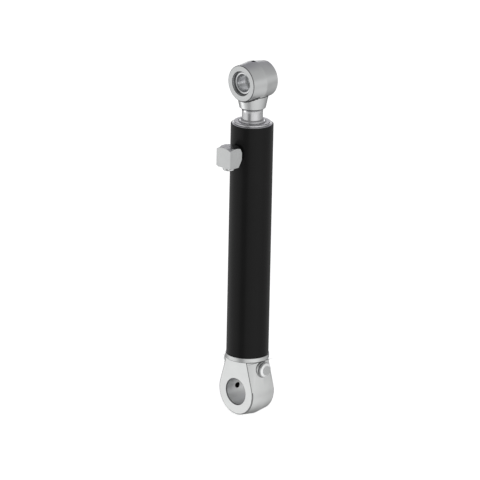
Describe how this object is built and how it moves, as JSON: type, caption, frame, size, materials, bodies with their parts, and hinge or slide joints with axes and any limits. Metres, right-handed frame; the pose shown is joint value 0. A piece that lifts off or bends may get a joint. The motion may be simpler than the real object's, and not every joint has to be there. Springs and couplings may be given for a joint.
{
  "type": "telescopic hydraulic cylinder",
  "caption": "Single-acting telescopic hydraulic cylinder: nested sleeves and plunger in a black barrel, a forged eye at each end, and a side port elbow.",
  "frame": {"origin": "centre of the base eye bore, midway between the eye's two faces", "axes": "+Z along the cylinder axis towards the rod eye; Y along both eye bores, with the port elbow on the -Y side; X across, with the side plugs"},
  "size_m": [0.124, 0.1385, 0.8326],
  "materials": {
    "forged_steel": "zinc plated drop forging, satin",
    "barrel_paint": "semi-gloss black paint",
    "machined_steel": "turned",
    "chrome_tube": "hard chromed and polished",
    "weld_steel": "dressed weld",
    "bush_steel": "steel-backed bush, bored",
    "rubber": "nitrile rubber",
    "seal_polymer": "polyurethane",
    "bronze": "bearing bronze"
  },
  "bodies": {
    "barrel": {"base_eye": "forged_steel", "base_cap": "machined_steel", "barrel_tube": "barrel_paint", "barrel_head": "machined_steel", "barrel_guide_ring": "bronze", "barrel_rod_seal": "seal_polymer", "barrel_wiper": "rubber", "barrel_head_oring": "rubber", "base_oring": "rubber", "port_boss": "barrel_paint", "port_elbow": "forged_steel", "elbow_oring": "rubber", "base_plug_right": "forged_steel", "base_plug_left": "forged_steel", "base_plug_seal_right": "rubber", "base_plug_seal_left": "rubber"},
    "stage_1": {"stage_1_tube": "chrome_tube", "stage_1_head": "machined_steel", "stage_1_guide_ring": "bronze", "stage_1_rod_seal": "seal_polymer", "stage_1_wiper": "rubber", "stage_1_head_oring": "rubber", "stage_1_piston": "machined_steel", "stage_1_piston_band": "bronze"},
    "stage_2": {"stage_2_tube": "chrome_tube", "stage_2_head": "machined_steel", "stage_2_guide_ring": "bronze", "stage_2_rod_seal": "seal_polymer", "stage_2_wiper": "rubber", "stage_2_head_oring": "rubber", "stage_2_piston": "machined_steel", "stage_2_piston_band": "bronze"},
    "plunger": {"plunger_rod": "chrome_tube", "plunger_piston": "machined_steel", "plunger_piston_band": "bronze", "rod_eye": "forged_steel", "rod_eye_weld": "weld_steel", "rod_bush_front": "bush_steel", "rod_bush_rear": "bush_steel"}
  },
  "joints": [
    {"name": "stage_1_slide", "type": "slide", "parent": "barrel", "child": "stage_1", "axis": [0, 0, 1], "range_m": [0, 0.409]},
    {"name": "stage_2_slide", "type": "slide", "parent": "stage_1", "child": "stage_2", "axis": [0, 0, 1], "range_m": [0, 0.436]},
    {"name": "plunger_slide", "type": "slide", "parent": "stage_2", "child": "plunger", "axis": [0, 0, 1], "range_m": [0, 0.438]}
  ]
}
